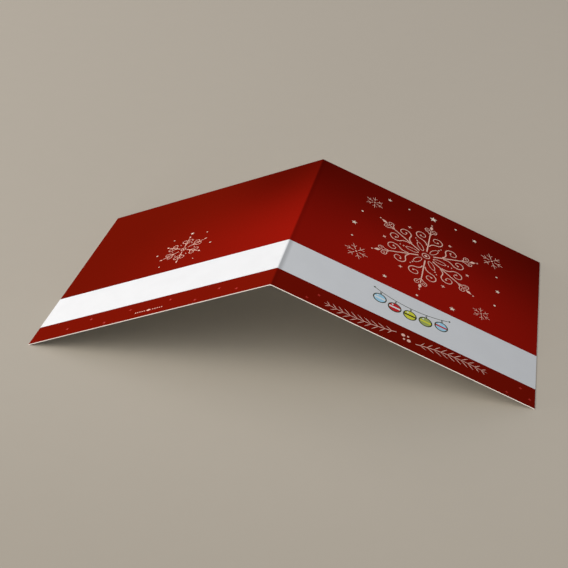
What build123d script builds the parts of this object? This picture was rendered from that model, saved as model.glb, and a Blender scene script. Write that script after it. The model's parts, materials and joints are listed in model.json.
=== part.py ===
from build123d import *
from math import cos, radians, sin
import os

# A square greeting card: one sheet of card stock, scored across its middle, folded there and
# stood on its two free edges as a low tent. The fold runs along Y. The front panel falls towards
# +X and the back panel towards -X, with the printed side up. The origin is under the fold, halfway
# along it, in the plane that the free edges stand on.

# The sheet
card_depth = 148.0  # along the fold, from the near edge to the far one
panel_width = 148.0  # across the fold, from the fold line to each free edge
stock_thickness = 0.45  # board of about 350 g/m2

# The fold
fold_angle = 135.0  # between the two inside faces, in degrees

# The scored crease. The rule leaves a narrow strip outside, which the fold pulls nearly flat,
# and pushes the board out into a rounded bead inside.
score_width = 0.9  # along both panels, from one shoulder of the strip to the other
score_crown = 0.05  # how far the strip still rounds up between its shoulders
bead_margin = 0.12  # how much further than the strip the bead reaches down each panel
bead_depth = 0.06  # how far the bead rounds down below its own two edges

# How the panels lie
slope = radians((180 - fold_angle) / 2)
down_panel = Vector(cos(slope), -sin(slope))
off_panel = Vector(sin(slope), cos(slope))

# The section, in the plane across the fold. The two outer faces would meet at the ridge, and the
# two inner faces at the root. A free edge is cut square to the sheet, so it stands on its inner
# corner.
ridge = Vector(0, panel_width * sin(slope) + stock_thickness * cos(slope))
root = Vector(0, ridge.Y - stock_thickness / cos(slope))
shoulder = ridge + down_panel * (score_width / 2)
outer_corner = ridge + down_panel * panel_width
inner_corner = outer_corner - off_panel * stock_thickness
bead_edge = root + down_panel * (score_width / 2 + bead_margin)
strip_top = Vector(0, shoulder.Y + score_crown)
bead_bottom = Vector(0, bead_edge.Y - bead_depth)


def across_the_fold(point):
    """The same point of the section on the back panel."""
    return Vector(-point.X, point.Y)


with BuildPart() as folded_card:
    with BuildSketch(Plane.XZ) as section:
        with BuildLine():
            strip = ThreePointArc(across_the_fold(shoulder), strip_top, shoulder)
            front_panel = Polyline(shoulder, outer_corner, inner_corner, bead_edge)
            bead = ThreePointArc(bead_edge, bead_bottom, across_the_fold(bead_edge))
            mirror(front_panel, about=Plane.YZ)
        make_face()
    extrude(amount=card_depth / 2, both=True)

folded_card.part.label = "folded_card"

os.makedirs("parts", exist_ok=True)
export_step(folded_card.part, "parts/folded_card.step")
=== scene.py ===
"""A square greeting card that stands as a low tent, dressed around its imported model.

The sheet is laid out flat, marked with its band, folded, given its thickness and scored. Its
ornaments are drawn flat with a broad pen, given the thickness of an ink film and laid on the panels.
"""

import json
import math

import bmesh
import bpy
from bpy.props import FloatProperty, FloatVectorProperty, IntProperty, PointerProperty
from mathutils import Matrix, Vector


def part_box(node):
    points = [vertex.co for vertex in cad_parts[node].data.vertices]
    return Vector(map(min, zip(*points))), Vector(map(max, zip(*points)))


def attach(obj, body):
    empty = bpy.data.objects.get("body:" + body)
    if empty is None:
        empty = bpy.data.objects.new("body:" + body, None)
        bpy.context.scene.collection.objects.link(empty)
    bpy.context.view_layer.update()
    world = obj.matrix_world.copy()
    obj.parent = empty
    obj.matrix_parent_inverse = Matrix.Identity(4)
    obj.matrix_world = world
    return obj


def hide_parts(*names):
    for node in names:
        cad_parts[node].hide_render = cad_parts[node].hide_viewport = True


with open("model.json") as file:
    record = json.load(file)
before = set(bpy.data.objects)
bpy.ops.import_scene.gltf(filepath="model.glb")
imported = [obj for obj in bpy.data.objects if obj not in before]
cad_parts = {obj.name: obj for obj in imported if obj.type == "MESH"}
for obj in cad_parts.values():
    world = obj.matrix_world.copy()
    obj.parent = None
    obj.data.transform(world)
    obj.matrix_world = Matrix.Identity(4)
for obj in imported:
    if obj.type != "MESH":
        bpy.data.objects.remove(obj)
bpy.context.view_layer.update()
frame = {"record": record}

bl_info = {
    "name": "Standing greeting card",
    "version": (1, 0, 0),
    "blender": (4, 5, 0),
    "location": "3D View > Sidebar > Greeting card",
    "description": "Folds, prints and lights a square greeting card that stands as a low tent",
    "category": "Add Mesh",
}

MM = 0.001
BODY = "root"

# The card's sizes, read from the frame
CARD_LOW, CARD_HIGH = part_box("folded_card")
MOUNTS = {mount["name"]: mount for mount in frame["record"]["mounts"]}
OUTSIDE = MOUNTS["front_panel_outside"]
INSIDE = MOUNTS["front_panel_inside"]
FACING = Vector(OUTSIDE["axis"])
SLOPE = math.atan2(FACING.x, FACING.z)
THICKNESS = (Vector(OUTSIDE["pos_m"]) - Vector(INSIDE["pos_m"])).dot(FACING)
SPAN = CARD_HIGH.x  # on the level, from the fold to a free edge
PANEL = SPAN / math.cos(SLOPE)
DEPTH = CARD_HIGH.y - CARD_LOW.y
RIDGE = Vector((0.0, 0.0, OUTSIDE["pos_m"][2] + OUTSIDE["pos_m"][0] * math.tan(SLOPE)))
FRONT, BACK = 1, -1

# The sheet's materials, by their slot on it
FIELD, STRIP, BAND, INNER, CUT = range(5)

# The glow of the red field, and the shades over its far part, are partly the print's own gradient and
# partly painted light and painted shade. Middles and reaches are shares of SPAN across and of DEPTH
# along. A shade's depth is the share of black in its middle.
GLOW = {"middle": (0.48, -0.15), "reach": (1.48, 0.94)}
FAR_SHADES = (
    {"middle": (-0.025, 0.55), "reach": (0.60, 0.72), "depth": 0.36},
    {"middle": (1.025, 0.55), "reach": (0.60, 0.72), "depth": 0.36},
    {"middle": (0.513, 0.378), "reach": (0.475, 0.37), "depth": 0.22},
    {"middle": (-0.17, 0.45), "reach": (0.26, 0.36), "depth": 0.13},
)

# The share of black in the front panel's painted shades, beside the fold and at the free edge
PRINT_SHADES = (0.11, 0.05)
BAND_SHADES = (0.29, 0.12)

# The tooth of each surface: how fine and how deep its fibres are, and its least and greatest roughness
PRINT_TOOTH = (1400.0, 0.006 * MM, 0.42, 0.52)
COATED_TOOTH = (1400.0, 0.006 * MM, 0.46, 0.56)
UNCOATED_TOOTH = (900.0, 0.03 * MM, 0.82, 0.92)
INK_TOOTH = (1400.0, 0.004 * MM, 0.38, 0.50)

# The part of a noise's greys that is stretched out, for a soft pattern and for a stronger one
SOFT_GREYS = (0.3, 0.7)
STRONG_GREYS = (0.35, 0.65)
BLACK = (0.0, 0.0, 0.0)


def length(name, description, default):
    """A length that a user can change, with its default in millimetres."""
    return FloatProperty(
        name=name, description=description, default=default * MM, unit="LENGTH", precision=4
    )


def colour(name, description, default):
    """A colour that a user can change, as linear red, green and blue."""
    return FloatVectorProperty(
        name=name, description=description, default=default, subtype="COLOR", size=3, min=0.0, max=1.0
    )


def place(name, description, default):
    """A point that a user can change, in metres."""
    return FloatVectorProperty(
        name=name, description=description, default=default, subtype="TRANSLATION", unit="LENGTH", size=3
    )


def number(name, description, default, **more):
    """A plain number that a user can change."""
    return FloatProperty(name=name, description=description, default=default, min=0.0, **more)


class CardSheetSettings(bpy.types.PropertyGroup):
    """Sizes and colours of the folded sheet"""

    band_start: length("Band start", "From the near edge to the bare band", 16.57)
    band_width: length("Band width", "Across the bare band", 30.05)
    score_width: length("Score width", "Between the shoulders of the scored strip outside", 0.9)
    bead_margin: length("Bead margin", "How much further than the strip the bead reaches", 0.12)
    crown_profile: number("Crown profile", "How round the strip is: 0.25 is flat", 0.42, max=1.0)
    bead_profile: number("Bead profile", "How full the bead is: 0.25 is flat, less is fuller", 0.14, max=1.0)
    crease_segments: IntProperty(
        name="Crease segments", description="Faces across the strip and across the bead", default=6, min=1
    )
    # The painted shade beside the fold on the front panel: where it is deepest, where it holds and where it
    # is gone
    shade_start: length("Shade start", "From the fold to where its shade in front is deepest", 0.45)
    shade_hold: length("Shade hold", "From the fold to where that shade starts to fade", 0.95)
    shade_end: length("Shade end", "From the fold to where that shade is gone", 3.2)
    # Between deep_red and glow_red runs the field's glow: partly the print's own gradient, partly painted
    # light
    deep_red: colour("Deep red", "The printed field away from its glow", (0.162, 0.0059, 0.0015))
    glow_red: colour("Glow red", "The printed field in the middle of its glow", (0.347, 0.0080, 0.0037))
    strip_red: colour("Strip red", "The printed strip along the near edge", (0.194, 0.0064, 0.0018))
    band_white: colour("Band white", "The coated stock of the band", (0.84, 0.84, 0.85))
    inside_white: colour("Inside white", "The uncoated inside of the stock", (0.80, 0.79, 0.765))
    # The cut edges' white is warmed with a painted cast of bounced light
    edge_white_and_bounce: colour("Edge white", "The cut edges of the stock", (0.97, 0.84, 0.78))


class CardPrintSettings(bpy.types.PropertyGroup):
    """Sizes and colours of the printed ornaments"""

    ink_height: length("Ink height", "How far the ink stands proud of the sheet", 0.02)
    ink_sink: length("Ink sink", "How far the ink reaches into the sheet", 0.01)
    flake_cream: colour("Flake cream", "The ink of the snowflakes", (0.97, 0.62, 0.49))
    star_cream: colour("Star cream", "The ink of the stars and the dots", (0.96, 0.82, 0.66))
    sprig_cream: colour("Sprig cream", "The ink of the fir sprigs", (0.97, 0.57, 0.46))
    faint_red: colour("Faint red", "The ink of the faint stars on the near strip", (0.46, 0.020, 0.012))
    bauble_red: colour("Bauble red", "The red bauble", (0.60, 0.010, 0.016))
    bauble_yellow: colour("Bauble yellow", "The yellow bauble", (0.76, 0.74, 0.05))
    bauble_blue: colour("Bauble blue", "The light blue baubles", (0.42, 0.72, 0.90))
    bauble_olive: colour("Bauble olive", "The olive bauble", (0.40, 0.46, 0.12))
    garland_dark: colour("Garland dark", "The garland and the rims of the baubles", (0.035, 0.040, 0.012))
    gleam_white: colour("Gleam white", "The highlights on the baubles", (0.88, 0.88, 0.86))


class CardStageSettings(bpy.types.PropertyGroup):
    """The floor, the light and the camera"""

    floor_size: length("Floor size", "Each side of the floor", 3600.0)
    floor_grey: colour("Floor grey", "The plain warm grey floor", (0.50, 0.444, 0.370))
    # Painted shade: the floor turns darker towards the camera, between near_edge and near_end
    near_shaded_grey: colour("Near grey", "The same floor close to the camera", (0.45, 0.396, 0.326))
    near_edge: length("Near edge", "Where the floor has its near grey, along Y", -270.0)
    near_end: length("Near end", "Where the near grey is gone, along Y", -70.0)
    fade_start: length("Fade start", "From the card to where the floor starts to fade", 650.0)
    fade_end: length("Fade end", "From the card to where the floor is all backdrop", 1650.0)
    backdrop_grey: colour("Backdrop grey", "The plain backdrop beyond the floor", (0.405, 0.362, 0.304))
    sky_colour: colour("Sky colour", "The even light from all round", (0.735, 0.824, 1.0))
    sky_strength: number("Sky strength", "The even light from all round", 0.27)
    side_place: place("Side lamp place", "Middle of the large lamp on the left", (-4.02, 0.60, 1.58))
    side_width: length("Side lamp width", "Of the large lamp on the left", 5280.0)
    side_height: length("Side lamp height", "Of the large lamp on the left", 3430.0)
    side_power: number("Side lamp power", "Of the large lamp on the left", 167.0, unit="POWER")
    side_colour: colour("Side lamp colour", "Of the large lamp on the left", (1.0, 0.963, 0.943))
    top_place: place("Top lamp place", "Middle of the lamp above in front", (-1.55, -1.79, 3.62))
    top_width: length("Top lamp width", "Each side of the lamp above in front", 4320.0)
    top_power: number("Top lamp power", "Of the lamp above in front", 111.4, unit="POWER")
    top_colour: colour("Top lamp colour", "Of the lamp above in front", (0.99, 0.967, 0.881))
    front_place: place("Front lamp place", "Middle of the low lamp in front", (0.10, -2.60, 0.24))
    front_width: length("Front lamp width", "Of the low lamp in front", 1600.0)
    front_height: length("Front lamp height", "Of the low lamp in front", 360.0)
    front_power: number("Front lamp power", "Of the low lamp in front", 24.0, unit="POWER")
    front_colour: colour("Front lamp colour", "Of the low lamp in front", (0.90, 1.0, 0.97))
    camera_place: place("Camera place", "Where the camera stands", (0.10514, -0.53540, 0.35176))
    camera_target: place("Camera target", "The point of the floor that it faces", (-0.01248, 0.01727, 0.0))
    camera_lens: number("Camera lens", "Focal length", 70.50, unit="CAMERA")
    camera_sensor: number("Camera sensor", "Width of the sensor", 36.0, unit="CAMERA")


def feed(tree, socket, value):
    """Links an input from another node's socket, or sets it to a value."""
    if isinstance(value, bpy.types.NodeSocket):
        tree.links.new(value, socket)
    else:
        socket.default_value = value


def add_node(tree, kind, inputs=None, **settings):
    """A new node with its settings made, and each input linked from a socket or set to a value."""
    made = tree.nodes.new(kind)
    for name, value in settings.items():
        setattr(made, name, value)
    for socket, value in (inputs or {}).items():
        feed(tree, made.inputs[socket], value)
    return made


def calculate(tree, operation, *values):
    """The output of a Math node."""
    return add_node(tree, "ShaderNodeMath", dict(enumerate(values)), operation=operation).outputs[0]


def calculate_vector(tree, operation, *values):
    """The vector of a Vector Math node."""
    return add_node(tree, "ShaderNodeVectorMath", dict(enumerate(values)), operation=operation).outputs[0]


def remap(tree, value, old_low, old_high, new_low, new_high, smooth=False):
    """The output of a Map Range node."""
    old = {"From Min": old_low, "From Max": old_high}
    new = {"To Min": new_low, "To Max": new_high}
    kind = "SMOOTHSTEP" if smooth else "LINEAR"
    made = add_node(tree, "ShaderNodeMapRange", {"Value": value, **old, **new}, interpolation_type=kind)
    return made.outputs[0]


def noise(tree, position, scale, detail):
    """The even grey of a Noise Texture node."""
    inputs = {"Vector": position, "Scale": scale, "Detail": detail}
    return add_node(tree, "ShaderNodeTexNoise", inputs).outputs["Fac"]


def mix_colours(tree, share, first, second):
    """The colour of a Mix node, from the first colour to the second one."""
    mix = add_node(tree, "ShaderNodeMix", {0: share}, data_type="RGBA")
    for socket, value in ((6, first), (7, second)):
        linked = isinstance(value, bpy.types.NodeSocket)
        feed(tree, mix.inputs[socket], value if linked else (*value, 1.0))
    return mix.outputs[2]


def new_group(name, takes, gives):
    """A new shader node group that takes a position too, with its Group Input and Group Output nodes."""
    group = bpy.data.node_groups.new(name, "ShaderNodeTree")
    for side, sockets in (("INPUT", {"Position": "Vector", **takes}), ("OUTPUT", gives)):
        for word, kind in sockets.items():
            group.interface.new_socket(word, in_out=side, socket_type="NodeSocket" + kind)
    return group, add_node(group, "NodeGroupInput").outputs, add_node(group, "NodeGroupOutput").inputs


def place_group(tree, name, **inputs):
    """The outputs of a node group placed in a tree. Its inputs are named with _ for a space."""
    made = add_node(tree, "ShaderNodeGroup", node_tree=bpy.data.node_groups[name])
    for word, value in inputs.items():
        feed(tree, made.inputs[word.replace("_", " ")], value)
    return made.outputs


def build_groups():
    """The node groups that the materials share."""
    # A mask that fades smoothly from 1 in the middle to 0 at its reach along X and along Y
    group, takes, gives = new_group(
        "soft patch", {"Middle": "Vector", "Reach": "Vector"}, {"Mask": "Float"}
    )
    flat = calculate_vector(group, "MULTIPLY", takes["Position"], (1.0, 1.0, 0.0))
    shares = calculate_vector(
        group, "DIVIDE", calculate_vector(group, "SUBTRACT", flat, takes["Middle"]), takes["Reach"]
    )
    away = add_node(group, "ShaderNodeVectorMath", {0: shares}, operation="LENGTH").outputs["Value"]
    group.links.new(remap(group, away, 0.0, 1.0, 1.0, 0.0, smooth=True), gives["Mask"])

    # The height of a board's crossing fibres, and the cloudiness of its formation
    group, takes, gives = new_group(
        "board fibre", {"Fineness": "Float"}, {"Height": "Float", "Cloud": "Float"}
    )
    fibre_leans, fibre_tilt = (35.0, -50.0), (0.3, 0.2)
    fibre_stretch = (1.0, 0.12, 1.0)
    fibre_greys = (0.45, 0.7)
    fibre_share, cloud_share = 0.6, 0.06
    felt = 0.0
    for lean in fibre_leans:
        turn = (*fibre_tilt, math.radians(lean))
        inputs = {"Vector": takes["Position"], "Rotation": turn, "Scale": fibre_stretch}
        laid = add_node(group, "ShaderNodeMapping", inputs).outputs[0]
        fibre = noise(group, laid, takes["Fineness"], detail=3.0)
        strand = remap(group, fibre, *fibre_greys, 0.0, 1.0, smooth=True)
        felt = calculate(group, "MAXIMUM", strand, felt)
    tooth = noise(group, takes["Position"], takes["Fineness"], detail=5.0)
    raised = calculate(group, "MULTIPLY", felt, fibre_share)
    group.links.new(calculate(group, "ADD", raised, tooth), gives["Height"])
    coarse = calculate(group, "MULTIPLY", takes["Fineness"], cloud_share)
    group.links.new(noise(group, takes["Position"], coarse, detail=3.0), gives["Cloud"])

    # A print's colour, a little lighter and darker from place to place as an ink film is
    group, takes, gives = new_group(
        "ink lay", {"Colour": "Color", "Variation": "Float"}, {"Colour": "Color"}
    )
    broad = noise(group, takes["Position"], scale=70.0, detail=4.0)
    fine = noise(group, takes["Position"], scale=2400.0, detail=2.0)
    both = calculate(group, "ADD", broad, fine)
    swing = calculate(group, "MULTIPLY", calculate(group, "SUBTRACT", both, 1.0), takes["Variation"])
    toned = add_node(
        group, "ShaderNodeVectorMath", {0: takes["Colour"], "Scale": calculate(group, "ADD", swing, 1.0)},
        operation="SCALE",
    )
    group.links.new(toned.outputs[0], gives["Colour"])

    # A mask of the front panel's painted shade: a narrow band along the fold, and a faint one that grows
    # towards the free edge
    sheet = bpy.context.scene.card_sheet
    group, takes, gives = new_group(
        "front shade", {"Fold": "Float", "Free edge": "Float"}, {"Mask": "Float"}
    )
    across = add_node(group, "ShaderNodeSeparateXYZ", {0: takes["Position"]}).outputs["X"]
    rising = remap(group, across, 0.0, sheet.shade_start, 0.0, takes["Fold"])
    fading = remap(group, across, sheet.shade_hold, sheet.shade_end, 1.0, 0.0, smooth=True)
    beside_fold = calculate(group, "MULTIPLY", rising, fading)
    growing = remap(group, across, 0.0, SPAN, 0.0, takes["Free edge"])
    group.links.new(calculate(group, "MAXIMUM", beside_fold, growing), gives["Mask"])


def start_material(name, shine):
    """A new material: itself, its tree, its shader and the Object coordinates."""
    material = bpy.data.materials.new(name)
    material.use_nodes = True
    tree = material.node_tree
    shader = tree.nodes["Principled BSDF"]
    shader.inputs["Specular IOR Level"].default_value = shine
    return material, tree, shader, add_node(tree, "ShaderNodeTexCoord").outputs["Object"]


def give_bump(tree, shader, height, depth):
    """Bumps a shader's normals by a height, whose whole unit is as deep as the depth."""
    bump = add_node(tree, "ShaderNodeBump", {"Height": height, "Strength": 1.0, "Distance": depth})
    tree.links.new(bump.outputs[0], shader.inputs["Normal"])


def give_tooth(tree, shader, position, fineness, depth, smoothest, roughest):
    """Gives a shader the bump and the roughness of board, and returns the board's cloudiness."""
    fibre = place_group(tree, "board fibre", Position=position, Fineness=fineness)
    give_bump(tree, shader, fibre["Height"], depth)
    roughness = remap(tree, fibre["Cloud"], *SOFT_GREYS, smoothest, roughest)
    tree.links.new(roughness, shader.inputs["Roughness"])
    return fibre["Cloud"]


def dimmed(white, share):
    """A white with just that share of its light."""
    return [part * share for part in white]


def field_patch(tree, position, middle, reach):
    """The mask of a soft patch on the red field, placed and sized by shares of SPAN and DEPTH."""
    return place_group(
        tree, "soft patch", Position=position, Middle=(middle[0] * SPAN, middle[1] * DEPTH, 0.0),
        Reach=(reach[0] * SPAN, reach[1] * DEPTH, 1.0),
    )["Mask"]


def shade_front(tree, position, laid, fold, free_edge):
    """A colour with the front panel's two painted shades on it, each as deep as its share of black."""
    shade = place_group(tree, "front shade", Position=position, Fold=fold, Free_edge=free_edge)["Mask"]
    return mix_colours(tree, shade, laid, BLACK)


def red_print(name, ink, glow=None):
    """The red print. A print with a glow is brightest on the front panel near the band; glow and shades are
    partly painted light and shade.
    """
    material, tree, shader, position = start_material(name, shine=0.0)
    red = (*ink, 1.0)
    if glow:
        # The glow and the far shades: partly the print's own gradient, partly painted light and painted
        # shade
        lit = field_patch(tree, position, GLOW["middle"], GLOW["reach"])
        red = mix_colours(tree, lit, ink, glow)
        for shade in FAR_SHADES:
            patch = field_patch(tree, position, shade["middle"], shade["reach"])
            dark = calculate(tree, "MULTIPLY", patch, shade["depth"])
            red = mix_colours(tree, dark, red, BLACK)
    laid = place_group(tree, "ink lay", Position=position, Colour=red, Variation=0.02)["Colour"]
    # The front panel's painted shades go over the print
    tree.links.new(shade_front(tree, position, laid, *PRINT_SHADES), shader.inputs["Base Color"])
    give_tooth(tree, shader, position, *PRINT_TOOTH)
    return material


def bare_board(name, white, tooth, shine, shades=None):
    """Unprinted stock: a white with a faintly cloudy formation and its own tooth, and any painted shades
    given.
    """
    material, tree, shader, position = start_material(name, shine)
    cloud = give_tooth(tree, shader, position, *tooth)
    share = remap(tree, cloud, *STRONG_GREYS, 0.0, 1.0)
    laid = mix_colours(tree, share, dimmed(white, 0.98), white)
    if shades:
        laid = shade_front(tree, position, laid, *shades)
    tree.links.new(laid, shader.inputs["Base Color"])
    return material


def cut_board(white):
    """The guillotined edges: pressed fibres in thin plies, whose white carries a painted warm cast of
    bounced light.
    """
    material, tree, shader, position = start_material("cut_edge", shine=0.2)
    thinned = (1.0, 1.0, 6.0)
    plies = add_node(tree, "ShaderNodeMapping", {"Vector": position, "Scale": thinned}).outputs[0]
    ply = noise(tree, plies, scale=2600.0, detail=4.0)
    share = remap(tree, ply, *STRONG_GREYS, 0.0, 1.0)
    laid = mix_colours(tree, share, dimmed(white, 0.92), white)
    tree.links.new(laid, shader.inputs["Base Color"])
    tree.links.new(remap(tree, ply, *SOFT_GREYS, 0.80, 0.95), shader.inputs["Roughness"])
    give_bump(tree, shader, ply, depth=0.02 * MM)
    return material


def ink_film(name, ink):
    """A spot colour: a thin even film with the sheet's tooth showing through."""
    material, tree, shader, position = start_material(name, shine=0.15)
    laid = place_group(tree, "ink lay", Position=position, Colour=(*ink, 1.0), Variation=0.06)["Colour"]
    tree.links.new(laid, shader.inputs["Base Color"])
    give_tooth(tree, shader, position, *INK_TOOTH)
    return material


def leave_edit_mode():
    """Closes the mesh that is open and deselects everything."""
    if bpy.context.object and bpy.context.object.mode != "OBJECT":
        bpy.ops.object.mode_set(mode="OBJECT")
    bpy.ops.object.select_all(action="DESELECT")


def take_up(piece):
    """Closes the mesh that is open, and makes this piece the only selected one and the active one."""
    leave_edit_mode()
    piece.select_set(True)
    bpy.context.view_layer.objects.active = piece


def open_mesh():
    """The mesh that is open in edit mode."""
    return bmesh.from_edit_mesh(bpy.context.object.data)


def select_parts(parts=()):
    """Selects just these corners, edges or faces of the open mesh."""
    bpy.ops.mesh.select_all(action="DESELECT")
    for part in parts:
        part.select_set(True)
    bmesh.update_edit_mesh(bpy.context.object.data)


def pick(kind, test):
    """Selects just the corners, edges or faces of the open mesh that pass the test."""
    bpy.ops.mesh.select_mode(type=kind)
    mesh = open_mesh()
    parts = {"VERT": mesh.verts, "EDGE": mesh.edges, "FACE": mesh.faces}[kind]
    select_parts([part for part in parts if test(part)])


def paint(piece, slot):
    """Gives the selected faces the material in that slot."""
    piece.active_material_index = slot
    bpy.ops.object.material_slot_assign()


def turn_selected(angle, axis, middle):
    """Turns the selection by the right-hand rule. With no window the operator turns the other way."""
    bpy.ops.transform.rotate(value=-angle, orient_axis=axis, center_override=middle)


def scale_selected(shares, middle):
    """Scales the selection about a point."""
    bpy.ops.transform.resize(value=shares, center_override=middle)


def apply_modifier(piece, kind, **settings):
    """Adds a modifier with its settings and applies it."""
    bpy.context.view_layer.objects.active = piece
    modifier = piece.modifiers.new(kind.lower(), kind)
    for name, value in settings.items():
        setattr(modifier, name, value)
    bpy.ops.object.modifier_apply(modifier=modifier.name)


class Pen:
    """A broad pen on the flat, in millimetres and degrees. Its edge stays selected and is drawn on."""

    STEP = 10.0  # the most that one piece of a bend turns
    REACH = 2.5  # the longest piece of a bend
    BALL_GAP = 1.05  # from the end of a stroke to the middle of its ball, in radii

    def __init__(self, at, heading, width):
        self.at = Vector((*at, 0.0)) * MM
        self.heading = math.radians(heading)
        self.width = width
        select_parts()
        ahead = self.ahead()
        middle = self.at - ahead * width * MM / 2
        turn = (0.0, 0.0, self.heading)
        bpy.ops.mesh.primitive_plane_add(size=width * MM, location=middle, rotation=turn)
        nib = [edge for edge in open_mesh().edges if edge.select]
        select_parts(
            [edge for edge in nib if all((corner.co - middle).dot(ahead) > 0.0 for corner in edge.verts)]
        )

    def ahead(self, turn=0.0):
        """The direction that the pen faces, after a turn in radians."""
        return Vector((math.cos(self.heading + turn), math.sin(self.heading + turn), 0.0))

    def draw(self, far, turn, width):
        """One straight piece that ends turned, and as wide as the width given."""
        move = self.ahead(turn / 2) * far * MM
        bpy.ops.mesh.extrude_region_move(TRANSFORM_OT_translate={"value": move})
        self.at += move
        if turn:
            self.heading += turn
            turn_selected(turn, "Z", self.at)
        if width != self.width:
            share = width / self.width
            scale_selected((share, share, 1.0), self.at)
            self.width = width

    def go(self, far, width):
        """Straight on, to another width."""
        self.draw(far, 0.0, width)
        return self

    def bend(self, radius, turn, width=None, end_radius=None):
        """Along an arc, or along a spiral that ends at another radius. A positive turn is to the left."""
        arc = radius * math.radians(abs(turn))
        steps = math.ceil(max(abs(turn) / self.STEP, arc / self.REACH))
        each = math.radians(turn) / steps
        start, end = self.width, width or self.width
        for step in range(steps):
            here = radius + ((end_radius or radius) - radius) * (step + 0.5) / steps
            chord = 2 * here * math.sin(abs(each) / 2)
            self.draw(chord, each, start + (end - start) * (step + 1) / steps)
        return self

    def curl(self, radius):
        """Ends the stroke in a ball."""
        centre = self.at / MM + self.ahead() * radius * self.BALL_GAP
        dot(centre.xy, radius)


def dot(at, radius, corners=16):
    """A filled round."""
    select_parts()
    bpy.ops.mesh.primitive_circle_add(
        vertices=corners, radius=radius * MM, fill_type="NGON", location=Vector((*at, 0.0)) * MM
    )


def shape_dot(at, shares, turn=0.0):
    """Stretches the round just drawn along X and Y, then turns it, in degrees."""
    middle = Vector((*at, 0.0)) * MM
    scale_selected((*shares, 1.0), middle)
    turn_selected(math.radians(turn), "Z", middle)


def lozenge(at, half_width, half_height):
    """A filled lozenge."""
    dot(at, 1.0, corners=4)
    shape_dot(at, (half_width, half_height))


def petal(at, half_width, half_height, line, turn):
    """An open oval, drawn as a line."""
    dot(at, 1.0, corners=24)
    shape_dot(at, (half_width, half_height), turn)
    bpy.ops.mesh.inset(thickness=line * MM, depth=0.0)
    bpy.ops.mesh.delete(type="FACE")


def star(at, radius, turn, points=5, waist=0.42):
    """A filled star with one point up, then turned."""
    dot(at, radius, corners=2 * points)
    shape_dot(at, (1.0, 1.0), turn)
    corners = [corner for corner in open_mesh().verts if corner.select]
    bpy.ops.mesh.select_mode(type="VERT")
    select_parts(corners[1::2])
    scale_selected((waist, waist, 1.0), Vector((*at, 0.0)) * MM)


def copy_round(count):
    """Copies the whole drawing round its middle."""
    bpy.ops.mesh.select_all(action="SELECT")
    for _ in range(count - 1):
        bpy.ops.mesh.duplicate_move()
        turn_selected(2 * math.pi / count, "Z", (0.0, 0.0, 0.0))


def start_drawing(name):
    """A new empty drawing at the origin, open in edit mode."""
    leave_edit_mode()
    bpy.ops.object.add(type="MESH", location=(0.0, 0.0, 0.0), enter_editmode=True)
    drawing = bpy.context.object
    drawing.name = drawing.data.name = name
    bpy.ops.mesh.select_mode(type="EDGE")
    return drawing


def end_drawing(drawing):
    """Turns every face of the drawing up and closes it."""
    pick("FACE", lambda face: face.normal.z < 0.0)
    bpy.ops.mesh.flip_normals()
    leave_edit_mode()
    return drawing


def copy_drawing(drawing, name):
    """A copy of a drawing, with its own mesh."""
    take_up(drawing)
    bpy.ops.object.duplicate()
    made = bpy.context.object
    made.name = made.data.name = name
    return made


def copy_row(first, count):
    """A drawing whose name ends in _1 and its copies, which are numbered on from it."""
    stem = first.name.removesuffix("1")
    return [first] + [copy_drawing(first, f"{stem}{number}") for number in range(2, count + 1)]


def panel_place(side, at, turn, share):
    """Where a drawing lies on a panel. at is read from the panel's left near corner, in millimetres.

    The front panel starts at the fold and the back one ends there, both with the print the right way up.
    """
    right = Vector((math.cos(SLOPE), 0.0, -side * math.sin(SLOPE)))
    up = Vector((0.0, 1.0, 0.0))
    out = right.cross(up)
    corner = RIDGE - up * DEPTH / 2 - (right * PANEL if side == BACK else Vector())
    sheet = Matrix((right, up, out)).transposed().to_4x4()
    sheet.translation = corner + right * at[0] * MM + up * at[1] * MM
    return sheet @ Matrix.Rotation(math.radians(turn), 4, "Z") @ Matrix.Diagonal((share, share, 1.0, 1.0))


def lay_print(drawing, slot, material, side, at=(0.0, 0.0), turn=0.0, share=1.0, rise=0.0):
    """Gives a flat drawing the thickness of its ink and lays it on a panel as a piece of the card.

    A drawing that has its materials already is given None.
    """
    settings = bpy.context.scene.card_print
    take_up(drawing)
    if material:
        drawing.data.materials.append(material)
    apply_modifier(
        drawing, "SOLIDIFY", thickness=settings.ink_height + settings.ink_sink + rise, offset=1.0
    )
    sunk = Matrix.Translation((0.0, 0.0, -settings.ink_sink))
    drawing.matrix_world = panel_place(side, at, turn, share) @ sunk
    bpy.ops.object.transform_apply(location=True, rotation=True, scale=True)
    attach(drawing, BODY)


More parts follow.
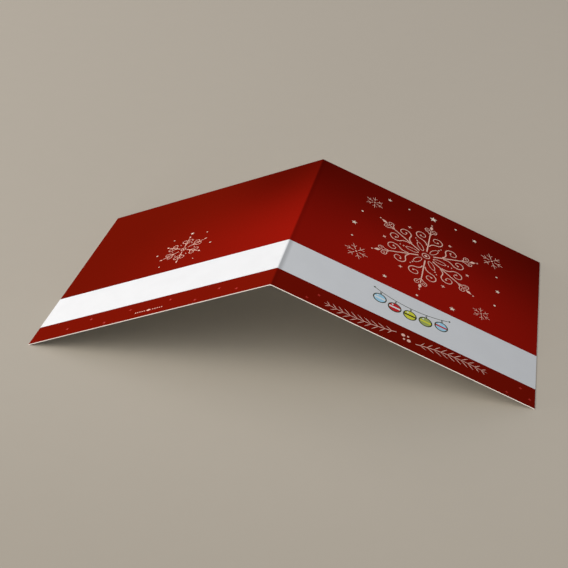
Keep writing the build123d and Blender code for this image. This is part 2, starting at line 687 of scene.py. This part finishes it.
class GREETING_CARD_OT_fold_sheet(bpy.types.Operator):
    """Cut, mark, fold and score the sheet"""

    bl_idname = "greeting_card.fold_sheet"
    bl_label = "Fold the sheet"

    def execute(self, context):
        settings = context.scene.card_sheet
        leave_edit_mode()
        bpy.ops.mesh.primitive_plane_add(size=1.0, location=RIDGE)
        sheet = context.object
        sheet.name = sheet.data.name = "card_sheet"
        bpy.ops.object.transform_apply(location=True, rotation=False, scale=False)
        for material in (
            red_print("red_field", settings.deep_red, settings.glow_red),
            red_print("red_strip", settings.strip_red),
            # The band carries the front panel's painted shades
            bare_board("bare_band", settings.band_white, COATED_TOOTH, shine=0.25, shades=BAND_SHADES),
            bare_board("bare_inside", settings.inside_white, UNCOATED_TOOTH, shine=0.15),
            cut_board(settings.edge_white_and_bounce),
        ):
            sheet.data.materials.append(material)
        self.mark_flat_sheet(sheet, settings)
        for side in (FRONT, BACK):
            pick("VERT", lambda corner: corner.co.x * side > MM)
            turn_selected(side * SLOPE, "Y", RIDGE)
        leave_edit_mode()
        apply_modifier(sheet, "SOLIDIFY", thickness=THICKNESS, offset=-1.0, use_even_offset=True)
        self.score(settings)
        level = 0.8  # the upright part of a normal: a panel's is greater, a cut edge's is less
        pick("FACE", lambda face: face.normal.z < -level)
        paint(sheet, INNER)
        pick("FACE", lambda face: abs(face.normal.z) < level)
        paint(sheet, CUT)
        leave_edit_mode()
        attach(sheet, BODY)
        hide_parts("folded_card")
        return {"FINISHED"}

    def mark_flat_sheet(self, sheet, settings):
        """Brings the plane to the flat sheet's size and divides it at the fold and the band's edges."""
        bpy.ops.object.mode_set(mode="EDIT")
        bpy.ops.mesh.select_all(action="SELECT")
        scale_selected((2 * PANEL, DEPTH, 1.0), RIDGE)
        low = settings.band_start - DEPTH / 2
        high = low + settings.band_width
        for point, across in (((0, 0), (1, 0)), ((0, low), (0, 1)), ((0, high), (0, 1))):
            bpy.ops.mesh.select_all(action="SELECT")
            bpy.ops.mesh.bisect(plane_co=(*point, RIDGE.z), plane_no=(*across, 0))
        pick("FACE", lambda face: face.calc_center_median().y < low)
        paint(sheet, STRIP)
        pick("FACE", lambda face: low < face.calc_center_median().y < high)
        paint(sheet, BAND)

    def score(self, settings):
        """Rounds the fold: a narrow strip outside, and a bead inside."""
        bpy.ops.object.mode_set(mode="EDIT")
        inner = RIDGE.z - THICKNESS / math.cos(SLOPE)
        hair = THICKNESS / 10

        def on_line(edge, height):
            ends = [corner.co for corner in edge.verts]
            return all(abs(end.x) < hair and abs(end.z - height) < hair for end in ends)

        def across_board(edge):
            lies_there = all(abs(corner.co.x) < hair for corner in edge.verts)
            return lies_there and not on_line(edge, RIDGE.z) and not on_line(edge, inner)

        pick("EDGE", across_board)
        bpy.ops.mesh.dissolve_edges(use_verts=False)
        for height, reach, profile in (
            (RIDGE.z, settings.score_width / 2, settings.crown_profile),
            (inner, settings.score_width / 2 + settings.bead_margin, settings.bead_profile),
        ):
            pick("EDGE", lambda edge: on_line(edge, height))
            bpy.ops.mesh.bevel(
                offset=reach, segments=settings.crease_segments, profile=profile, affect="EDGES"
            )


def draw_snowflake(name):
    """A large snowflake of scrolls, 37 mm from its middle to its tips."""
    flake = start_drawing(name)
    # A stem that ends in a lozenge and a bead
    Pen((0.0, 6.0), 90, 0.8).go(23.8, 0.55)
    lozenge((0.0, 32.9), 1.1, 2.4)
    dot((0.0, 36.4), 0.5)
    # A large scroll and a small one on each side of the stem
    for side in (1, -1):
        lower = Pen((side * 1.0, 12.4), 90 - side * 12, 0.6).bend(4.7, -side * 70, 0.6)
        lower.bend(4.4, side * 395, 0.28, 1.1).curl(0.6)
        upper = Pen((side * 0.75, 26.0), 90 - side * 15, 0.45).bend(2.3, -side * 60, 0.45)
        upper.bend(2.1, side * 380, 0.25, 0.6).curl(0.38)
    # A petal, two beads and a star, halfway to the next stem
    petal((4.4, 7.6), 1.7, 4.2, 0.36, -30)
    for reach, radius in ((14.2, 0.5), (16.4, 0.4)):
        dot((reach / 2, reach * math.cos(math.radians(30))), radius)
    star((13.2, 22.9), 1.5, points=4, waist=0.34, turn=15)
    copy_round(6)
    # The ringed bead in the middle
    dot((0.0, 0.0), 0.9)
    petal((0.0, 0.0), 2.6, 2.6, 0.45, 0)
    return end_drawing(flake)


def draw_back_snowflake(name):
    """The same kind of snowflake with fewer scrolls, to be read at a small size."""
    flake = start_drawing(name)
    Pen((0.0, 3.4), 90, 0.42).go(9.6, 0.3)
    lozenge((0.0, 14.4), 0.55, 1.1)
    for side in (1, -1):
        scroll = Pen((side * 0.5, 6.4), 90 - side * 20, 0.34).bend(2.2, -side * 55, 0.32)
        scroll.bend(1.9, side * 330, 0.24, 0.75)
    dot((3.6, 6.2), 0.36)
    copy_round(6)
    dot((0.0, 0.0), 0.5)
    petal((0.0, 0.0), 1.7, 1.7, 0.34, 0)
    return end_drawing(flake)


def draw_small_flake(name):
    """A small plain snowflake, 7 mm from its middle to its tips."""
    flake = start_drawing(name)
    Pen((0.0, 2.0), 90, 0.36).go(5.0, 0.28)
    for side in (1, -1):
        Pen((side * 0.5, 4.1), 90 - side * 50, 0.3).go(1.7, 0.2)
    copy_round(6)
    dot((0.0, 0.0), 0.65, corners=6)
    return end_drawing(flake)


def draw_sprig(name):
    """A fir sprig 40 mm long, with its cut end at the origin and its needles in pairs."""
    sprig = start_drawing(name)
    stem_radius, first_heading, whole_turn = 92.0, 16.0, 24.0
    pairs, longest, lean, off_stem = 10, 4.6, 42, 0.5
    Pen((0.0, 0.0), first_heading, 0.42).bend(stem_radius, -whole_turn, 0.26).go(1.6, 0.15)

    def left_of(heading):
        turned = math.radians(heading)
        return Vector((-math.sin(turned), math.cos(turned)))

    middle = -left_of(first_heading) * stem_radius
    for pair in range(pairs):
        share = (pair + 0.7) / pairs
        heading = first_heading - whole_turn * share
        out = left_of(heading)
        # The needles are shorter towards both ends of the stem, and widest halfway along themselves
        far = longest * min(1.0, 0.55 + 2.0 * share, 0.5 + 1.6 * (1 - share))
        for side in (1, -1):
            root = middle + out * (stem_radius + side * off_stem)
            Pen(root, heading + side * lean, 0.2).go(far * 0.5, 0.42).go(far * 0.5, 0.1)
    return end_drawing(sprig)


def draw_bauble(name, rim, fill, stripe):
    """A round bauble with a rim, a cap with its ring, and a stripe."""
    radius, rim_width, half_stripe = 4.0, 0.7, 0.6
    bauble = start_drawing(name)
    for material in (rim, fill, stripe):
        bauble.data.materials.append(material)
    dot((0.0, 0.0), radius, corners=32)
    bpy.ops.mesh.inset(thickness=rim_width * MM, depth=0.0)

    def inside_rim(face):
        return len(face.verts) > 4

    def in_stripe(face):
        return inside_rim(face) and abs(face.calc_center_median().y) < half_stripe * MM

    for height in (-half_stripe, half_stripe):
        pick("FACE", inside_rim)
        bpy.ops.mesh.bisect(plane_co=(0, height * MM, 0), plane_no=(0, 1, 0))
    pick("FACE", inside_rim)
    paint(bauble, 1)
    pick("FACE", in_stripe)
    paint(bauble, 2)
    bauble.active_material_index = 0
    # The cap, and the ring on it
    Pen((0.0, 4.8), 90, 0.6).go(0.1, 1.2)
    petal((0.0, 5.5), 0.5, 0.5, 0.2, 0)
    return end_drawing(bauble)


class GREETING_CARD_OT_print_snowflakes(bpy.types.Operator):
    """Print the large snowflake and four small ones on the front, and one on the back"""

    bl_idname = "greeting_card.print_snowflakes"
    bl_label = "Print the snowflakes"

    FRONT_FLAKE = (76.0, 94.0)
    BACK_FLAKE = (75.0, 70.5)
    # Each small snowflake's place, turn and share of its full size
    SMALL_FLAKES = (
        ((38.5, 126.0), 6.0, 0.85),
        ((116.5, 122.5), 20.0, 1.05),
        ((36.5, 65.5), 24.0, 1.0),
        ((113.5, 62.0), 9.0, 0.8),
    )

    def execute(self, context):
        settings = context.scene.card_print
        cream = ink_film("flake_cream", settings.flake_cream)
        front = draw_snowflake("front_snowflake")
        lay_print(front, "cream_print", cream, FRONT, self.FRONT_FLAKE)
        back = draw_back_snowflake("back_snowflake")
        lay_print(back, "cream_print", cream, BACK, self.BACK_FLAKE)
        flakes = copy_row(draw_small_flake("small_flake_1"), len(self.SMALL_FLAKES))
        for flake, (at, turn, share) in zip(flakes, self.SMALL_FLAKES):
            lay_print(flake, "cream_print", cream, FRONT, at, turn, share)
        return {"FINISHED"}


class GREETING_CARD_OT_print_stars(bpy.types.Operator):
    """Print the stars and dots round the snowflakes, and the faint stars of the near strip"""

    bl_idname = "greeting_card.print_stars"
    bl_label = "Print the stars"

    # Each star's and each dot's place, across and along, and its radius
    FRONT_STARS = (
        (76.0, 138.5, 2.6), (47.0, 137.0, 1.5), (104.0, 136.0, 1.7), (30.5, 94.0, 1.9),
        (122.0, 92.0, 1.6), (55.5, 54.5, 1.5), (96.5, 53.5, 1.9),
    )
    FRONT_DOTS = (
        (60.0, 137.0, 0.6), (91.0, 139.0, 0.7), (33.0, 110.0, 0.7), (120.5, 107.0, 0.6),
        (31.5, 79.5, 0.6), (121.0, 76.5, 0.7), (75.5, 50.8, 0.7),
    )
    BACK_STARS = ((75.0, 89.5, 1.3), (57.5, 70.5, 0.8), (92.5, 70.5, 0.8))
    BACK_DOTS = ((64.0, 86.0, 0.4), (86.0, 86.0, 0.4), (64.0, 55.0, 0.4), (86.0, 55.0, 0.4))
    # The faint stars' places. They share one radius.
    FAINT_FRONT = ((19.5, 3.4), (25.0, 9.8), (132.0, 3.0), (139.5, 11.5), (145.0, 5.6))
    FAINT_BACK = (
        (22.8, 6.6), (36.5, 11.0), (48.0, 3.2), (62.0, 10.2),
        (86.5, 10.8), (103.5, 3.6), (116.0, 9.8), (127.5, 4.8),
    )
    FAINT_RADIUS = 1.15

    def execute(self, context):
        settings = context.scene.card_print
        cream = ink_film("star_cream", settings.star_cream)
        for name, side, stars, dots in (
            ("front_stars", FRONT, self.FRONT_STARS, self.FRONT_DOTS),
            ("back_stars", BACK, self.BACK_STARS, self.BACK_DOTS),
        ):
            drawing = start_drawing(name)
            for across, along, radius in stars:
                star((across, along), radius, turn=across % 20 - 10)
            for across, along, radius in dots:
                dot((across, along), radius)
            lay_print(end_drawing(drawing), "cream_print", cream, side)
        faint = ink_film("faint_red", settings.faint_red)
        for name, side, spots in (
            ("faint_stars_front", FRONT, self.FAINT_FRONT),
            ("faint_stars_back", BACK, self.FAINT_BACK),
        ):
            drawing = start_drawing(name)
            for across, along in spots:
                star((across, along), self.FAINT_RADIUS, points=4, waist=0.4, turn=across % 30)
            lay_print(end_drawing(drawing), "cream_print", faint, side)
        return {"FINISHED"}


class GREETING_CARD_OT_print_baubles(bpy.types.Operator):
    """Print the garland and its five baubles on the front's white band"""

    bl_idname = "greeting_card.print_baubles"
    bl_label = "Print the baubles"

    SAG_RADIUS = 56.0
    HALF_WIDTH = 21.2  # of the garland
    KNOT = (22.1, 0.5)  # out from the garland's middle, and up from its ends
    LOWEST = (74.0, 35.5)  # where the garland's middle lies
    SPACING = 9.0  # between two baubles
    HANG = 6.2  # from the garland down to a bauble's middle
    GLEAM = (-1.5, 2.0)  # from a bauble's middle to its gleam

    def execute(self, context):
        settings = context.scene.card_print
        dark = ink_film("garland_dark", settings.garland_dark)
        gleam = ink_film("gleam_white", settings.gleam_white)
        red, yellow, blue, olive = (
            ink_film(name, getattr(settings, name))
            for name in ("bauble_red", "bauble_yellow", "bauble_blue", "bauble_olive")
        )
        garland = start_drawing("garland")
        half = math.degrees(math.asin(self.HALF_WIDTH / self.SAG_RADIUS))
        rise = self.SAG_RADIUS * (1 - math.cos(math.radians(half)))
        Pen((-self.HALF_WIDTH, rise), -half, width=0.42).bend(self.SAG_RADIUS, 2 * half)
        for side in (1, -1):
            dot((side * self.KNOT[0], rise + self.KNOT[1]), radius=0.6)
        lay_print(end_drawing(garland), "coloured_print", dark, FRONT, self.LOWEST)
        # Each bauble's fill and stripe
        fills = ((blue, gleam), (red, gleam), (yellow, dark), (olive, yellow), (blue, red))
        baubles = copy_row(draw_bauble("bauble_1", dark, *fills[0]), len(fills))
        gleams = start_drawing("bauble_gleams")
        hung = []
        for index in range(len(fills)):
            across = (index - len(fills) // 2) * self.SPACING
            line = self.SAG_RADIUS - math.sqrt(self.SAG_RADIUS**2 - across**2)
            hung.append((self.LOWEST[0] + across, self.LOWEST[1] + line - self.HANG))
            dot((across + self.GLEAM[0], line - self.HANG + self.GLEAM[1]), radius=0.55)
        end_drawing(gleams)
        for bauble, at, (fill, stripe) in zip(baubles, hung, fills):
            bauble.data.materials[1] = fill
            bauble.data.materials[2] = stripe
            lay_print(bauble, "coloured_print", None, FRONT, at)
        lay_print(gleams, "coloured_print", gleam, FRONT, self.LOWEST, rise=0.01 * MM)
        return {"FINISHED"}


class GREETING_CARD_OT_print_sprigs(bpy.types.Operator):
    """Print the fir sprigs and berries on the front's near strip, and the rule on the back's"""

    bl_idname = "greeting_card.print_sprigs"
    bl_label = "Print the sprigs"

    # The place of each sprig's cut end, and its turn
    RIGHT_SPRIG = ((80.5, 7.0), 2.0)
    LEFT_SPRIG = ((68.5, 9.6), 182.0)
    # Each berry's place and radius
    BERRIES = (((72.7, 9.8), 1.1), ((76.2, 7.0), 1.1), ((75.4, 10.2), 0.65), ((73.5, 6.8), 0.65))
    # The rule on the back: its middle, and on each side its dots, the first one's place and the step
    RULE = (75.0, 5.2)
    RULE_DOTS = 5
    RULE_START, RULE_STEP = 2.6, 1.35

    def execute(self, context):
        cream = ink_film("sprig_cream", context.scene.card_print.sprig_cream)
        right = draw_sprig("right_sprig")
        left = copy_drawing(right, "left_sprig")
        lay_print(right, "cream_print", cream, FRONT, *self.RIGHT_SPRIG)
        lay_print(left, "cream_print", cream, FRONT, *self.LEFT_SPRIG)
        berries = start_drawing("berries")
        for at, radius in self.BERRIES:
            dot(at, radius)
        lay_print(end_drawing(berries), "cream_print", cream, FRONT)
        rule = start_drawing("back_rule")
        lozenge((0.0, 0.0), 1.5, 0.9)
        for side in (1, -1):
            for spot in range(self.RULE_DOTS):
                dot((side * (self.RULE_START + self.RULE_STEP * spot), 0.0), radius=0.4)
        lay_print(end_drawing(rule), "cream_print", cream, BACK, self.RULE)
        return {"FINISHED"}


class GREETING_CARD_OT_light_stage(bpy.types.Operator):
    """Lay the floor, and set the lamps, the even light and the camera"""

    bl_idname = "greeting_card.light_stage"
    bl_label = "Light the stage"

    def execute(self, context):
        settings = context.scene.card_stage
        leave_edit_mode()
        bpy.ops.mesh.primitive_plane_add(size=settings.floor_size, location=(0.0, 0.0, 0.0))
        floor = context.object
        floor.name = floor.data.name = "floor"
        floor.data.materials.append(self.floor_material(settings))
        for name in ("side", "top", "front"):
            self.add_lamp(settings, name)
        self.light_world(context.scene, settings)
        look = Vector(settings.camera_target) - Vector(settings.camera_place)
        bpy.ops.object.camera_add(
            location=settings.camera_place, rotation=look.to_track_quat("-Z", "Y").to_euler()
        )
        camera = context.object
        camera.data.lens = settings.camera_lens
        camera.data.sensor_width = settings.camera_sensor
        camera.data.clip_start = 0.01
        context.scene.camera = camera
        context.scene.view_settings.view_transform = "Standard"
        return {"FINISHED"}

    @staticmethod
    def add_lamp(settings, name):
        """A soft lamp that faces the card. One with no height of its own is square."""
        at = getattr(settings, f"{name}_place")
        facing = (-Vector(at)).to_track_quat("-Z", "Y").to_euler()
        bpy.ops.object.light_add(type="AREA", location=at, rotation=facing)
        lamp = bpy.context.object
        lamp.name = lamp.data.name = f"{name}_lamp"
        lamp.visible_camera = False
        lamp.data.shape = "RECTANGLE"
        lamp.data.size = getattr(settings, f"{name}_width")
        lamp.data.size_y = getattr(settings, f"{name}_height", lamp.data.size)
        lamp.data.energy = getattr(settings, f"{name}_power")
        lamp.data.color = getattr(settings, f"{name}_colour")

    @staticmethod
    def background_ray(tree):
        """1 for a ray that shows the background: the camera's own, or one by way of gloss or glass."""
        path = add_node(tree, "ShaderNodeLightPath").outputs
        onward = calculate(tree, "MAXIMUM", path["Is Glossy Ray"], path["Is Transmission Ray"])
        return calculate(tree, "MAXIMUM", path["Is Camera Ray"], onward)

    def light_world(self, scene, settings):
        """Even light from all round. Background rays get the plain backdrop instead."""
        world = bpy.data.worlds.new("studio")
        world.use_nodes = True
        tree = world.node_tree
        tree.nodes.clear()
        sky = {"Color": (*settings.sky_colour, 1.0), "Strength": settings.sky_strength}
        light = add_node(tree, "ShaderNodeBackground", sky)
        backdrop = add_node(tree, "ShaderNodeBackground", {"Color": (*settings.backdrop_grey, 1.0)})
        seen = self.background_ray(tree)
        shaders = {0: seen, 1: light.outputs[0], 2: backdrop.outputs[0]}
        both = add_node(tree, "ShaderNodeMixShader", shaders)
        add_node(tree, "ShaderNodeOutputWorld", {"Surface": both.outputs[0]})
        scene.world = world

    def floor_material(self, settings):
        """A matt floor, plain but for painted shade that darkens it towards the camera. Background rays see
        it fade into the backdrop, and pass it from below.
        """
        material, tree, shader, position = start_material("floor", shine=0.15)
        # Painted shade: the floor's grey darkens towards the camera
        along = add_node(tree, "ShaderNodeSeparateXYZ", {0: position}).outputs["Y"]
        share = remap(tree, along, settings.near_edge, settings.near_end, 0.0, 1.0, smooth=True)
        grey = mix_colours(tree, share, settings.near_shaded_grey, settings.floor_grey)
        laid = place_group(tree, "ink lay", Position=position, Colour=grey, Variation=0.02)["Colour"]
        tree.links.new(laid, shader.inputs["Base Color"])
        shader.inputs["Roughness"].default_value = 0.8
        away = add_node(tree, "ShaderNodeVectorMath", {0: position}, operation="LENGTH").outputs["Value"]
        faded = remap(tree, away, settings.fade_start, settings.fade_end, 0.0, 1.0, smooth=True)
        below = add_node(tree, "ShaderNodeNewGeometry").outputs["Backfacing"]
        unseen = calculate(tree, "MAXIMUM", below, faded)
        gone = calculate(tree, "MULTIPLY", unseen, self.background_ray(tree))
        clear = add_node(tree, "ShaderNodeBsdfTransparent").outputs[0]
        both = add_node(tree, "ShaderNodeMixShader", {0: gone, 1: shader.outputs[0], 2: clear})
        tree.links.new(both.outputs[0], tree.nodes["Material Output"].inputs["Surface"])
        return material


OPERATORS = (
    GREETING_CARD_OT_fold_sheet,
    GREETING_CARD_OT_print_snowflakes,
    GREETING_CARD_OT_print_stars,
    GREETING_CARD_OT_print_baubles,
    GREETING_CARD_OT_print_sprigs,
    GREETING_CARD_OT_light_stage,
)
SETTINGS = {
    "card_sheet": CardSheetSettings,
    "card_print": CardPrintSettings,
    "card_stage": CardStageSettings,
}


class VIEW3D_PT_greeting_card(bpy.types.Panel):
    """The steps that make the card, and its sizes and colours"""

    bl_label = "Greeting card"
    bl_idname = "VIEW3D_PT_greeting_card"
    bl_space_type = "VIEW_3D"
    bl_region_type = "UI"
    bl_category = "Greeting card"

    def draw(self, context):
        for operator in OPERATORS:
            self.layout.operator(operator.bl_idname)
        for name in SETTINGS:
            settings = getattr(context.scene, name)
            box = self.layout.box()
            for word in settings.__annotations__:
                box.prop(settings, word)


def register():
    for kind in (*SETTINGS.values(), *OPERATORS, VIEW3D_PT_greeting_card):
        bpy.utils.register_class(kind)
    for name, kind in SETTINGS.items():
        setattr(bpy.types.Scene, name, PointerProperty(type=kind))


def unregister():
    for name in SETTINGS:
        delattr(bpy.types.Scene, name)
    for kind in (VIEW3D_PT_greeting_card, *reversed(OPERATORS), *reversed(SETTINGS.values())):
        bpy.utils.unregister_class(kind)


def main():
    """Makes the card and its stage."""
    register()
    build_groups()
    bpy.ops.greeting_card.fold_sheet()
    bpy.ops.greeting_card.print_snowflakes()
    bpy.ops.greeting_card.print_stars()
    bpy.ops.greeting_card.print_baubles()
    bpy.ops.greeting_card.print_sprigs()
    bpy.ops.greeting_card.light_stage()


if __name__ == "__main__":
    main()
